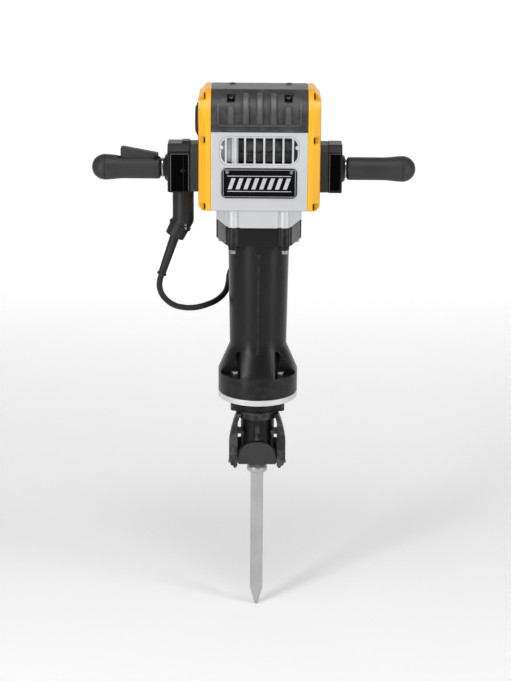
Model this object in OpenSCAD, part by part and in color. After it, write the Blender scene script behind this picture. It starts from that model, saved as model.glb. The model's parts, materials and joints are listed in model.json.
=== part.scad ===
// Electric demolition hammer with a hexagonal point chisel.
// Origin: on the hammer axis, at the height of the two grips. +X runs to the
// plain grip, -Y to the front of the head, +Z up. Millimetres throughout.

/* [Head] */
// Width across the two side covers
head_w = 256; // [236:1:310]
// Hammer axis to the front face of the head
head_front = 92; // [90:1:112]
// Hammer axis to the back face of the head
head_back = 124; // [122:1:150]
// Grip axis up to the flat top of the head
head_top = 176; // [170:1:212]
// Grip axis up to the joint between the cast case and the top cover
case_top = 93; // [84:1:112]
// Grip axis down to the underside of the head
head_drop = 75; // [72:1:92]
// Width of one side cover
cover_w = 27; // [22:0.5:33]
// Wall of the moulded covers
cover_t = 4; // [3:0.5:6]
// Wall of the cast case
case_t = 8; // [6:0.5:10]
// Height of the neck between the head and the collar
neck_h = 37; // [30:1:45]

/* [Barrel] */
// Height of the bolted collar
collar_h = 41; // [34:1:50]
// Length of the plain barrel
barrel_len = 236; // [196:1:284]
// Radius of the barrel under the collar
barrel_r = 66; // [60:1:72]
// Radius of the barrel above the flare
barrel_low_r = 62; // [58:1:68]
// Height of the flare
flare_h = 58; // [48:1:70]
// Radius of the bottom flange
flange_r = 87; // [80:1:105]
// Height of the bottom flange
flange_h = 50; // [42:1:60]
// Thickness of the bright ring under the flange
ring_t = 13; // [10:1:16]

/* [Hammer mechanism] */
// Radius of the cylinder bore
bore_r = 38; // [34:0.5:40]
// Wall of the steel cylinder
liner_t = 8; // [5:0.5:8]
// Distance from the crank axis to the crank pin
throw = 18; // [14:1:20]
// Distance between the eyes of the connecting rod
rod_len = 120; // [115:1:135]
// Length of the striker
striker_len = 100; // [80:1:120]
// Radius of the impact bolt's head
anvil_r = 24; // [20:0.5:28]
// Radius of the impact bolt's stem
anvil_stem_r = 17; // [14:0.5:18]

/* [Gears and motor] */
// Teeth of the motor pinion
pinion_teeth = 12; // [11:1:14]
// Teeth of the wheel that the motor drives
wheel_teeth = 44; // [42:1:46]
// Teeth of the pinion on the countershaft
drive_teeth = 14; // [13:1:15]
// Teeth of the crank gear
crank_teeth = 42; // [40:1:44]
// Tooth module of the fast pair
fast_module = 1.5; // [1.4:0.05:1.6]
// Tooth module of the slow pair
slow_module = 2.5; // [2.4:0.05:2.6]
// Radius of the stator
stator_r = 56; // [50:1:60]
// Radius of the armature core
core_r = 30; // [26:1:34]
// Length of the armature core
core_len = 56; // [46:1:60]

/* [Tool holder and chisel] */
// Tool holder below the bright ring
holder_len = 158; // [150:1:190]
// Radius of the tool holder's core
holder_r = 37; // [35:0.5:40]
// Width across the flats of the hexagonal shank
hex_flats = 28.6; // [25:0.1:30]
// Clearance between the shank and its bush, across the flats
hex_play = 0.8; // [0.4:0.1:1.2]
// Chisel below its collar
chisel_len = 326; // [270:1:450]
// Radius of the chisel's collar
tool_collar_r = 23; // [20:0.5:27]
// Length of the chisel's tapered point
point_len = 49; // [35:1:70]

/* [Grips] */
// Radius of a grip
grip_r = 24.5; // [21:0.5:28]
// Radius of the knob that ends a grip
knob_r = 27.5; // [25:0.5:32]
// Length of a grip with its knob
grip_len = 147; // [128:1:175]
// Radius of the steel bar inside a grip
bar_r = 9; // [8:0.5:10]
// Width of the switch box, out from its mounting plate
switch_box_w = 48; // [46:1:58]
// Width of the plain box on the other side
plain_box_w = 29; // [28:1:40]
// Height of a grip box
box_h = 102; // [98:1:122]
// Depth of a grip box
box_d = 76; // [66:1:90]
// Thickness of a mounting plate
plate_t = 18.5; // [15:0.5:24]

/* [Cord] */
// Diameter of the mains cord
cord_d = 13; // [10:0.5:13.5]

/* [Hidden] */
$fn = 48;

// Gap between pieces that seat on each other
gap = 0.2;
// Radial clearance of a running fit
fit = 0.05;
// Height of the head's parts
case_x = head_w / 2 - cover_w;
wall_x = case_x - case_t;
head_bottom = -head_drop;
neck_z = head_bottom - neck_h;
collar_z = neck_z - collar_h;
flare_z = collar_z - barrel_len;
rim_top = flare_z - flare_h;
rim_z = rim_top - flange_h;
ring_z = rim_z - ring_t;
nose_z = ring_z - holder_len;
// Depth at which the cast case ends and the rear cover starts
rear_y = 60;
// Plan of the neck and collar
neck_front = 83;
boss_x = 54;
boss_y = 76;
side_boss_x = 80;
boss_r = 12;
neck_r = 50;
// Axes of the collar bolts: two at the front, two at the back, one each side
neck_bolts = [
  [boss_x, -boss_y], [-boss_x, -boss_y], [boss_x, boss_y], [-boss_x, boss_y],
  [side_boss_x, 0], [-side_boss_x, 0]
];
neck_bolt_r = 4;
// Crank and gears: all shafts run along X
crank_z = -5;
motor_z = 105;
pin_z = crank_z + throw;
wrist_z = pin_z - rod_len;
fast_gap = fast_module * (pinion_teeth + wheel_teeth) / 2;
slow_gap = slow_module * (drive_teeth + crank_teeth) / 2;
shaft_gap = motor_z - crank_z;
counter_rise = (slow_gap * slow_gap - fast_gap * fast_gap + shaft_gap * shaft_gap) / (2 * shaft_gap);
counter_y = sqrt(max(0, slow_gap * slow_gap - counter_rise * counter_rise));
counter_z = crank_z + counter_rise;
// Places along X, from the outer wall of the case inwards
fast_x = -wall_x + 2;
fast_w = 13;
slow_x = fast_x + fast_w + 2;
slow_w = 15;
inner_wall_x = slow_x + slow_w + 3;
inner_wall_w = 14;
bearing_w = 12;
fan_x = inner_wall_x + inner_wall_w + 5;
fan_w = 12;
core_x = fan_x + fan_w + 6;
web_x = -32;
web_w = 16;
pin_end = 13;
bracket_x = core_x + core_len + 38;
bracket_w = 12;
motor_bearing_r = 17.5;
motor_shaft_r = 8;
counter_shaft_r = 9;
counter_bearing_r = 14;
crank_shaft_r = 14;
crank_bearing_r = 24;
crank_pin_r = 10;
// Cylinder and what slides in it
liner_r = bore_r + liner_t;
liner_top = neck_z + 27;
liner_z = rim_top + 17;
piston_wall = 4.5;
piston_top = wrist_z + 20;
piston_floor = wrist_z - 50;
piston_z = piston_floor - 14;
striker_top = piston_z - 54;
guide_top = liner_z - 8;
guide_r = liner_r - 2;
anvil_step = guide_top - 18;
anvil_top = guide_top + 42;
anvil_z = ring_z - 6;
// Tool holder
bush_r = 24;
bush_top = ring_z - 20;
stem_bore_r = 20;
latch_pin_y = -34;
latch_pin_z = nose_z + 12;
latch_pin_r = 4;
shank_top = bush_top - 2;
tool_collar_z = nose_z - 6;
tool_collar_h = 18;
tool_z = tool_collar_z - tool_collar_h - chisel_len;
// Grips
plate_x = head_w / 2 + gap;
box_x = plate_x + plate_t;
left_box_x = box_x + switch_box_w;
right_box_x = box_x + plain_box_w;
box_top = 56;
box_bottom = box_top - box_h;
box_t = 4;
pivot_x = box_x + 15.5;
pivot_r = 5;
neck_w = 16;
plain_neck_w = 11;
eye_r = 10.5;
bellows_r = 20;
rod_z = 13;
trigger_pin_z = 21;
elbow_x = 163;
elbow_z = -112;
elbow_end = [-182, 0, -150];
relief_start = [-179.7, 0, -145.5];
relief_end = [-211, 0, -237];
// Hank of spare cord behind the barrel
hank_in_r = 39;
hank_half = 60;
hank_z = -280;
hank_y = 66.5;
hank_layers = 4;
hank_rings = 2;
cord_r = cord_d / 2;

// Route of the cord from its strain relief to the hank, by hand
CORD = [
  [-211, 0, -237], [-215, 0, -252], [-215, 0, -268], [-209, 0, -284], [-198, 1, -297],
  [-183, 2, -307], [-166, 4, -312], [-148, 7, -314], [-130, 12, -313], [-113, 20, -310],
  [-97, 31, -306], [-85, 44, -301], [-75.5, 57, -294], [-69.5, 69, -285], [-66.4, 79, -272],
  [-65, 85, -259]
];

// ---- shared shapes ----

// One corner to cut away from a rectangle, leaving radius r; dir points inwards
module corner_cut(p, dir, r) {
  if (r > 0) translate(p) mirror([dir.x > 0 ? 0 : 1, 0]) mirror([0, dir.y > 0 ? 0 : 1]) difference() {
    translate([-1, -1]) square(r + 1);
    translate([r, r]) circle(r);
  }
}

// Rectangle from a to b; radii run counter-clockwise from the lower left corner
module round_rect(a, b, r) {
  difference() {
    translate(a) square([b.x - a.x, b.y - a.y]);
    corner_cut(a, [1, 1], r[0]);
    corner_cut([b.x, a.y], [-1, 1], r[1]);
    corner_cut(b, [-1, -1], r[2]);
    corner_cut([a.x, b.y], [1, -1], r[3]);
  }
}

// Extrude an outline drawn in X and Z along +Y
module along_y(y, l) translate([0, y + l, 0]) rotate([90, 0, 0]) linear_extrude(l) children();

// Extrude an outline drawn in Y and Z along +X
module along_x(x, l) translate([x, 0, 0]) rotate([90, 0, 90]) linear_extrude(l) children();

// Extrude an outline drawn in X and Y along +Z
module along_z(z, l) translate([0, 0, z]) linear_extrude(l) children();

// Round bar along X, centred on a given y and z
module bar_x(x, l, r, y = 0, z = 0) translate([x, y, z]) rotate([0, 90, 0]) cylinder(h = l, r = r);

// Round bar along Y, centred on a given x and z
module bar_y(x, z, y, l, r) translate([x, y, z]) rotate([-90, 0, 0]) cylinder(h = l, r = r);

// Straight tube along Z
module tube_z(z, l, r_out, r_in) {
  difference() {
    translate([0, 0, z]) cylinder(h = l, r = r_out);
    translate([0, 0, z - 1]) cylinder(h = l + 2, r = r_in);
  }
}

// Straight tube along X, centred on a given y and z
module tube_x(x, l, r_out, r_in, y = 0, z = 0) {
  difference() {
    bar_x(x, l, r_out, y, z);
    bar_x(x - 1, l + 2, r_in, y, z);
  }
}

// Children and their mirror image across the plane x = 0
module both_sides() {
  children();
  mirror([1, 0, 0]) children();
}

// Hexagonal prism along Z; a corner faces the front
module hex_z(z, l, flats) translate([0, 0, z]) rotate(30) cylinder(h = l, r = flats / sqrt(3), $fn = 6);

// Hexagon-headed bolt, head at the bottom, shank upwards
module bolt_up(head, head_h, shank, l) {
  cylinder(h = head_h, r = head, $fn = 6);
  translate([0, 0, head_h]) cylinder(h = l, r = shank);
}

// ---- gears ----

// Involute function in degrees
function inv(a) = tan(a) * 180 / PI - a;
// Half the angle that a tooth covers at radius r
function tooth_half(r, m, teeth) =
  let (pitch = m * teeth / 2, base = pitch * cos(20))
  78 / teeth + inv(20) - inv(acos(min(1, base / r)));
function polar(r, a) = [r * cos(a), r * sin(a)];
// Radii at which a flank is drawn: root, pitch and tip
function flank_radii(m, teeth) = [m * teeth / 2 - 1.25 * m, m * teeth / 2, m * teeth / 2 + 0.85 * m];
// Points of one tooth, root to tip and back
function tooth_points(m, teeth, a) = concat(
  [for (r = flank_radii(m, teeth)) polar(r, a - tooth_half(r, m, teeth))],
  [for (i = [2:-1:0]) let (r = flank_radii(m, teeth)[i]) polar(r, a + tooth_half(r, m, teeth))]);

// Spur gear along X; "turn" puts a tooth at that angle from +Y towards +Z
module gear_x(x, w, m, teeth, turn, y, z, bore) {
  difference() {
    translate([0, y, z]) along_x(x, w)
      polygon([for (i = [0:teeth - 1]) each tooth_points(m, teeth, turn + 360 * i / teeth)]);
    bar_x(x - 1, w + 2, bore, y, z);
  }
}

// ---- head ----

// Side view of the head: rounded top front and top back, flat top
head_front_r = 80;
head_back_r = 120;
module head_profile(inset = 0) {
  intersection() {
    round_rect([-head_front + inset, head_bottom + inset], [head_back - inset, head_top + 6 - inset],
      [6, 14, head_back_r, head_front_r]);
    translate([-head_front, head_bottom]) square([head_front + head_back, head_drop + head_top - inset]);
  }
}

// Plan of the neck and the collar, with a boss round each bolt
module neck_plan() {
  polygon([
    [-46, -neck_front], [46, -neck_front], [70, -72], [88, -12], [88, 12], [70, 72],
    [46, neck_front], [-46, neck_front], [-70, 72], [-88, 12], [-88, -12], [-70, -72]
  ]);
  for (p = neck_bolts) translate(p) circle(boss_r);
}

// Bolts that hold a grip box to the case: depth and height of each
handle_bolt_places = [[-22, -30], [22, -30], [-22, 35], [22, 35]];
handle_bolt_r = 4;

// Window in the front of the case
window_x = 84;
window_low = 23;
window_high = 85;
window_r = 22;

module cast_case() color([0.80, 0.81, 0.83]) difference() {
  union() {
    intersection() {
      along_x(-case_x, 2 * case_x) head_profile();
      translate([-case_x, -head_front - 1, head_bottom])
        cube([2 * case_x, head_front + 1 + rear_y, head_drop + case_top]);
    }
    along_z(neck_z, neck_h) neck_plan();
    along_z(neck_z, neck_h + 24) intersection() {
      neck_plan();
      translate([-100, -head_front]) square([200, 44]);
    }
    along_z(neck_z, 60) translate([-40, -head_front + 4]) square([80, 20]);
  }
  translate([-wall_x, -head_front + case_t, head_bottom + case_t])
    cube([inner_wall_x + wall_x, head_front - case_t + rear_y + 1, head_drop + head_top]);
  translate([inner_wall_x + inner_wall_w, -head_front + case_t, head_bottom + case_t])
    cube([wall_x - inner_wall_x - inner_wall_w, head_front - case_t + rear_y + 1, head_drop + head_top]);
  translate([0, 0, neck_z - 1]) cylinder(h = neck_h + case_t + 3, r = neck_r);
  along_y(-head_front - 1, case_t + 3)
    round_rect([-window_x, window_low], [window_x, window_high], [window_r, window_r, window_r, window_r]);
  bar_x(-case_x - 1, case_x, crank_bearing_r, 0, crank_z);
  bar_x(-case_x - 1, case_x, counter_bearing_r, counter_y, counter_z);
  translate([inner_wall_x - 1, 0, motor_z]) rotate([0, 90, 0])
    cylinder(h = inner_wall_w + 2, r = motor_bearing_r);
  translate([inner_wall_x - 1, -30, motor_z]) cube([inner_wall_w + 2, 60, 90]);
  for (p = neck_bolts) translate([p.x, p.y, neck_z - 1]) cylinder(h = 20, r = neck_bolt_r + gap);
  both_sides() for (p = handle_bolt_places) bar_x(wall_x - 1, case_t + 2, handle_bolt_r + gap, p.x, p.y);
}

module head_shell(x, w) difference() {
  along_x(x, w) head_profile();
  along_x(x - 1, w + 2) head_profile(cover_t);
}

pocket_x = 60;
pocket_z = 161;
module top_cover() color([0.22, 0.22, 0.23]) difference() {
  intersection() {
    head_shell(-case_x, 2 * case_x);
    translate([-case_x, -head_front - 1, case_top + gap])
      cube([2 * case_x, head_front + 1 + rear_y - gap, 200]);
  }
  both_sides() translate([pocket_x - 8, -head_front - 1, pocket_z - 8]) cube([16, 36, 16]);
}

vent_pitch = 14;
module rear_cover() color([0.20, 0.20, 0.21]) difference() {
  intersection() {
    difference() {
      along_x(-case_x, 2 * case_x) head_profile();
      along_x(-case_x + cover_t, 2 * (case_x - cover_t)) head_profile(cover_t);
    }
    translate([-case_x, rear_y + gap, head_bottom]) cube([2 * case_x, head_back, head_drop + head_top]);
  }
  for (i = [-4:4]) along_y(head_back - cover_t - 1, cover_t + 2)
    round_rect([i * vent_pitch - 3, 20], [i * vent_pitch + 3, 90], [2, 2, 2, 2]);
}

// Depth and height of each screw of a side cover: three at the front, three at the back
screw_in = 6.5;
screw_places = [
  [-head_front + 36, head_top - 12], [-head_front + screw_in, 76], [-head_front + screw_in, head_bottom + 10],
  [head_back - 64, head_top - 12], [head_back - screw_in, 76], [head_back - screw_in, head_bottom + 10]
];
screw_r = 3;
notch_half = 7;
side_bevel = 18;
module side_cover() difference() {
  intersection() {
    along_x(case_x + gap, cover_w - gap) head_profile();
    along_y(-head_front, head_front + head_back) polygon([
      [case_x, head_bottom], [head_w / 2 - 8, head_bottom], [head_w / 2, head_bottom + 8],
      [head_w / 2, head_top - 20], [head_w / 2 - 14, head_top], [case_x, head_top]
    ]);
    along_z(head_bottom, head_drop + head_top) polygon([
      [case_x, -head_front], [head_w / 2 - side_bevel, -head_front], [head_w / 2, -head_front + 14],
      [head_w / 2, head_back - 14], [head_w / 2 - side_bevel, head_back], [case_x, head_back]
    ]);
  }
  intersection() {
    along_x(case_x - 1, cover_w + 1 - cover_t) head_profile(side_bevel);
    along_y(-head_front, head_front + head_back) polygon([
      [case_x - 1, head_bottom], [head_w / 2 - cover_t, head_bottom], [head_w / 2 - cover_t, head_top - 24],
      [case_x - 1, head_top]
    ]);
  }
  for (p = screw_places) {
    translate([case_x + 12, p.x < 0 ? -head_front - 1 : p.x - screw_in, p.y - notch_half])
      cube([cover_w, p.x < 0 ? p.x + head_front + 1 + screw_in : 72, 2 * notch_half]);
    bar_x(case_x - 1, 20, screw_r + gap, p.x, p.y);
  }
  for (p = handle_bolt_places) bar_x(head_w / 2 - cover_t - 1, cover_t + 2, handle_bolt_r + gap, p.x, p.y);
  for (i = [0:5]) along_x(head_w / 2 - cover_t - 1, cover_t + 2)
    round_rect([50 + i * 8, 60], [54 + i * 8, 118 - 3 * i], [1.9, 1.9, 1.9, 1.9]);
}

module right_side_cover() color([1.0, 0.73, 0.06]) side_cover();
module left_side_cover() color([1.0, 0.73, 0.06]) mirror([1, 0, 0]) side_cover();

// Pan-headed screws: one row in each side cover's notches, two in the top cover
module cover_screws() color([0.25, 0.25, 0.26]) {
  both_sides() for (p = screw_places) {
    bar_x(case_x + 12 + gap, 3, 5.5, p.x, p.y);
    bar_x(case_x + 1.5, 11, screw_r, p.x, p.y);
  }
}

module motor_cap() color([0.14, 0.14, 0.15]) {
  translate([-head_w / 2 - gap, 0, motor_z]) rotate([0, -90, 0]) cylinder(h = 5, r1 = 36, r2 = 34);
  translate([-head_w / 2 - gap - 5, 0, motor_z]) rotate([0, -90, 0]) cylinder(h = 3, r1 = 30, r2 = 27);
}

grille_bars = 8;
module window_grille() color([0.70, 0.71, 0.72]) {
  along_y(-head_front + 2, 3) difference() {
    round_rect([-window_x + gap, window_low + gap], [window_x - gap, window_high - gap],
      [window_r - gap, window_r - gap, window_r - gap, window_r - gap]);
    round_rect([-window_x + 4, window_low + 4], [window_x - 4, window_high - 4], [18, 18, 18, 18]);
  }
  for (i = [0:grille_bars - 1])
    translate([(i - (grille_bars - 1) / 2) * 20 - 2, -head_front + 2, window_low + 3])
    cube([4, 3, window_high - window_low - 6]);
}

plate_z = -14;
module name_plate() color([0.05, 0.05, 0.05]) difference() {
  along_y(-head_front - 2 - gap, 2)
    round_rect([-79, plate_z - 32], [79, plate_z + 32], [10, 10, 10, 10]);
  both_sides() bar_y(67, plate_z + 24, -head_front - 5, 10, 2.2);
}

module name_plate_rivets() color([0.6, 0.6, 0.62]) both_sides() {
  bar_y(67, plate_z + 24, -head_front - 4, 1.6, 3.6);
  bar_y(67, plate_z + 24, -head_front - 2.5, 2.4, 2);
}

// ---- barrel ----

// Hook behind the barrel, through the hole of the cord's hank
hook_z = hank_z + hank_half + hank_in_r - cord_r - 16;
module cord_hook() along_x(-9, 18) polygon([
  [50, hook_z - 26], [barrel_r - 4, hook_z - 26], [barrel_r + 12, hook_z], [head_back - 4, hook_z],
  [head_back - 1, hook_z + 3], [head_back - 1, hook_z + 26], [head_back - 4.5, hook_z + 26],
  [head_back - 4.5, hook_z + 12], [50, hook_z + 12]
]);

flange_bolt_places = [[48, -46], [-48, -46], [48, 46], [-48, 46]];
module barrel() color([0.10, 0.10, 0.11]) difference() {
  union() {
    along_z(collar_z, collar_h - gap) neck_plan();
    for (p = neck_bolts) if (p.y != 0) translate([p.x, p.y, collar_z - 8]) cylinder(h = 20, r = boss_r - 1);
    rotate_extrude() polygon([
      [0, rim_z], [flange_r, rim_z], [flange_r, rim_top], [barrel_low_r, flare_z], [barrel_r, collar_z + 1],
      [0, collar_z + 1]
    ]);
    translate([-2, -barrel_r - 2, flare_z - 10]) cube([4, 12, barrel_len - 10]);
    cord_hook();
  }
  translate([0, 0, liner_z]) cylinder(h = 400, r = liner_r + gap);
  translate([0, 0, rim_z - 1]) cylinder(h = 200, r = guide_r + gap);
  for (p = neck_bolts) translate([p.x, p.y, collar_z - 9]) cylinder(h = 90, r = neck_bolt_r + gap);
  for (p = flange_bolt_places) {
    translate([p.x, p.y, rim_z - 1]) cylinder(h = 90, r = 5 + gap);
    difference() {
      along_y(p.y > 0 ? 26 : -90, 64) mirror([p.x > 0 ? 0 : 1, 0])
        polygon([
          [38, rim_top - 4], [81, rim_top - 4], [81, rim_top], [44, rim_top + 50], [38, rim_top + 50]
        ]);
      translate([0, 0, rim_top - 10]) cylinder(h = 80, r = barrel_low_r - 8);
    }
  }
}

module collar_bolts() color([0.62, 0.62, 0.64]) for (p = neck_bolts)
  translate([p.x, p.y, collar_z - 8 - gap - (p.y == 0 ? 0 : 8)])
    bolt_up(8, 8, neck_bolt_r, collar_h + (p.y == 0 ? 14 : 22));

module flange_bolts() color([0.62, 0.62, 0.64]) for (p = flange_bolt_places)
  translate([p.x, p.y, rim_top - 4 + gap]) {
    cylinder(h = 9, r = 9, $fn = 6);
    translate([0, 0, -flange_h - ring_t]) cylinder(h = flange_h + ring_t + 0.1, r = 5);
  }

module bright_ring() color([0.85, 0.85, 0.86]) difference() {
  tube_z(ring_z, ring_t - gap, flange_r, guide_r + 1 + gap);
  for (p = flange_bolt_places) translate([p.x, p.y, ring_z - 1]) cylinder(h = ring_t + 2, r = 5 + gap);
}

// ---- hammer mechanism ----

seal_z = [neck_z - 12, liner_z + 14];
seal_r = 2;
module air_cylinder() color([0.6, 0.6, 0.62]) difference() {
  tube_z(liner_z, liner_top - liner_z, liner_r, bore_r);
  for (z = seal_z) tube_z(z, 2 * seal_r, liner_r + 1, liner_r - 1.6);
}

// Two rings round the cylinder, and the rubber buffer under it
module cylinder_seals() color([0.06, 0.06, 0.06]) {
  for (z = seal_z) tube_z(z + 0.1, 2 * seal_r - 0.2, liner_r, liner_r - 1.5);
  tube_z(guide_top + gap, liner_z - guide_top - 2 * gap, guide_r - 1, anvil_r + 2);
}

module anvil_guide() color([0.55, 0.55, 0.57]) difference() {
  translate([0, 0, rim_z + 1]) cylinder(h = guide_top - rim_z - 1, r = guide_r);
  translate([0, 0, anvil_step - 10]) cylinder(h = 60, r = anvil_r + fit);
  translate([0, 0, rim_z]) cylinder(h = 90, r = anvil_stem_r + fit);
}

module impact_bolt() color([0.62, 0.62, 0.65]) {
  translate([0, 0, anvil_step]) cylinder(h = anvil_top - anvil_step - 4, r = anvil_r);
  translate([0, 0, anvil_top - 4]) cylinder(h = 4, r1 = anvil_r, r2 = anvil_r - 4);
  translate([0, 0, anvil_z]) cylinder(h = anvil_step - anvil_z + 1, r = anvil_stem_r);
}

module striker() color([0.58, 0.58, 0.61]) difference() {
  translate([0, 0, striker_top - striker_len]) cylinder(h = striker_len, r = bore_r - fit);
  for (i = [1:2]) tube_z(striker_top - 14 * i, 4, bore_r + 1, bore_r - 3);
}

module piston() color([0.66, 0.66, 0.68]) difference() {
  translate([0, 0, piston_z]) cylinder(h = piston_top - piston_z, r = bore_r - fit);
  translate([0, 0, piston_floor]) cylinder(h = 100, r = bore_r - piston_wall);
  tube_z(piston_z + 5, 4, bore_r + 1, bore_r - 3);
}

rod_w = 22;
rod_head_r = 19;
rod_eye_r = 11;
wrist_r = 7;
module connecting_rod() color([0.55, 0.55, 0.58]) {
  difference() {
    union() {
      bar_x(-rod_w / 2, rod_w, rod_head_r, 0, pin_z);
      bar_x(-8, 16, rod_eye_r, 0, wrist_z);
      translate([-6, -8, wrist_z]) cube([12, 16, rod_len]);
    }
    bar_x(-20, 40, crank_pin_r + fit, 0, pin_z);
  }
  bar_x(-18, 36, wrist_r, 0, wrist_z);
}

module crankshaft() color([0.50, 0.50, 0.53]) {
  bar_x(-case_x + 1, web_x + case_x, crank_shaft_r, 0, crank_z);
  bar_x(web_x, web_w, throw + crank_pin_r + 5, 0, crank_z);
  bar_x(web_x + web_w - 1, pin_end - web_x - web_w + 1, crank_pin_r, 0, pin_z);
}

module crank_gear() color([0.56, 0.56, 0.59])
  gear_x(slow_x, slow_w, slow_module, crank_teeth,
    atan2(counter_rise, counter_y) + 180 / crank_teeth, 0, crank_z,
    crank_shaft_r + 0.01);

module countershaft() color([0.52, 0.52, 0.55]) {
  bar_x(-case_x + 1, inner_wall_x + 10 + case_x, counter_shaft_r, counter_y, counter_z);
  gear_x(slow_x, slow_w, slow_module, drive_teeth, atan2(-counter_rise, -counter_y), counter_y, counter_z,
    counter_shaft_r - 1);
}

motor_angle = atan2(motor_z - counter_z, -counter_y);
module fast_wheel() color([0.58, 0.58, 0.60])
  gear_x(fast_x, fast_w, fast_module, wheel_teeth, motor_angle, counter_y, counter_z, counter_shaft_r + 0.01);

// Ring of a ball bearing, drawn as one washer
module bearing(x, r_out, r_in, y, z) tube_x(x, bearing_w, r_out, r_in, y, z);
bearing_play = 0.05;
module gear_bearings() color([0.72, 0.72, 0.74]) {
  bearing(inner_wall_x + 1, crank_bearing_r - 0.02, crank_shaft_r + bearing_play, 0, crank_z);
  bearing(inner_wall_x + 1, counter_bearing_r - 0.02, counter_shaft_r + bearing_play, counter_y, counter_z);
  tube_x(-case_x + 0.5, case_t - 1, crank_bearing_r - 0.02, crank_shaft_r + bearing_play, 0, crank_z);
  tube_x(-case_x + 0.5, case_t - 1, counter_bearing_r - 0.02, counter_shaft_r + bearing_play,
    counter_y, counter_z);
}

// ---- motor ----

module armature_shaft() color([0.55, 0.55, 0.58]) {
  bar_x(fast_x + fast_w, bracket_x + bracket_w - fast_x - fast_w, motor_shaft_r - 1, 0, motor_z);
  gear_x(fast_x, fast_w, fast_module, pinion_teeth, motor_angle + 180 + 180 / pinion_teeth, 0, motor_z, 1);
}

slots = 12;
module armature_core() color([0.45, 0.42, 0.40]) difference() {
  bar_x(core_x, core_len, core_r, 0, motor_z);
  bar_x(core_x - 1, core_len + 2, motor_shaft_r - 1, 0, motor_z);
  for (i = [0:slots - 1]) translate([core_x - 1, 0, motor_z]) rotate([i * 360 / slots, 0, 0])
    translate([0, -1.5, core_r - 9]) cube([core_len + 2, 3, 12]);
}

commutator_x = core_x + core_len + 12;
commutator_w = 18;
commutator_r = 19;
module commutator() color([0.72, 0.45, 0.20])
  tube_x(commutator_x, commutator_w, commutator_r, motor_shaft_r - 1, 0, motor_z);

fan_blades = 9;
fan_r = 46;
module cooling_fan() color([0.18, 0.18, 0.19]) difference() {
  union() {
    bar_x(fan_x, 3, fan_r, 0, motor_z);
    bar_x(fan_x, fan_w, 14, 0, motor_z);
    for (i = [0:fan_blades - 1]) translate([fan_x, 0, motor_z]) rotate([i * 360 / fan_blades, 0, 0])
      translate([1, -1, 12]) cube([fan_w - 2, 2, fan_r - 14]);
  }
  bar_x(fan_x - 1, fan_w + 2, motor_shaft_r - 1, 0, motor_z);
}

module motor_bearings() color([0.72, 0.72, 0.74]) for (x = [inner_wall_x + 1, bracket_x])
  tube_x(x, bearing_w, motor_bearing_r - 0.02, motor_shaft_r - 1 + bearing_play, 0, motor_z);

stator_bore = core_r + 1;
module stator() color([0.16, 0.16, 0.17]) difference() {
  bar_x(core_x + 2, core_len - 4, stator_r, 0, motor_z);
  bar_x(core_x, core_len, stator_bore, 0, motor_z);
  for (side = [-1, 1]) translate([core_x, side > 0 ? 18 : -44, motor_z - 22]) cube([core_len, 26, 44]);
}

module field_coils() color([0.70, 0.38, 0.16]) difference() {
  for (y = [-43.5, 18.5]) translate([core_x - 3, y, motor_z - 21]) cube([core_len + 6, 25, 42]);
  bar_x(core_x - 4, core_len + 8, stator_bore + 1.5, 0, motor_z);
}

// Plate that carries the motor's far bearing and the stator
module motor_bracket() color([0.30, 0.30, 0.31]) difference() {
  union() {
    translate([bracket_x, -54, motor_z - 58]) cube([bracket_w, 108, 100]);
    translate([bracket_x, -54, head_bottom + case_t + gap]) cube([bracket_w, 108, 14]);
    for (y = [-54, 42]) translate([bracket_x, y, head_bottom + case_t + gap])
      cube([bracket_w, 12, motor_z - head_bottom - 40]);
  }
  bar_x(bracket_x - 1, bracket_w + 2, motor_bearing_r, 0, motor_z);
}

brush_w = 8;
module brush_holders() color([0.72, 0.58, 0.28]) for (side = [0, 180])
  translate([commutator_x + 9, 0, motor_z])
  rotate([side, 0, 0]) difference() {
    translate([-7, commutator_r + 3, -7]) cube([14, 26, 14]);
    translate([-brush_w / 2 - gap, commutator_r, -brush_w / 2 - gap])
      cube([brush_w + 2 * gap, 26, brush_w + 2 * gap]);
  }

module carbon_brushes() color([0.12, 0.12, 0.12]) for (side = [0, 180])
  translate([commutator_x + 9, 0, motor_z])
  rotate([side, 0, 0]) translate([-brush_w / 2, commutator_r + 0.3, -brush_w / 2])
    cube([brush_w, 24, brush_w]);

// ---- tool holder and chisel ----

arm_in = 43.5;
latch_low = nose_z + 23;
slot_low = nose_z + 20;
slot_high = nose_z + 58;
module holder_arm() along_y(-42, 30)
  polygon([
    [36, ring_z - 33], [46, ring_z - 33], [53, ring_z - 52], [59, ring_z - 75], [62.5, nose_z + 62],
    [62.5, nose_z + 19], [58, nose_z + 4], [53, nose_z + 3], [52, nose_z - 2], [47, nose_z - 2],
    [arm_in, nose_z + 4], [arm_in, nose_z + 102], [39, nose_z + 118], [36, nose_z + 118]
  ]);

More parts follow.
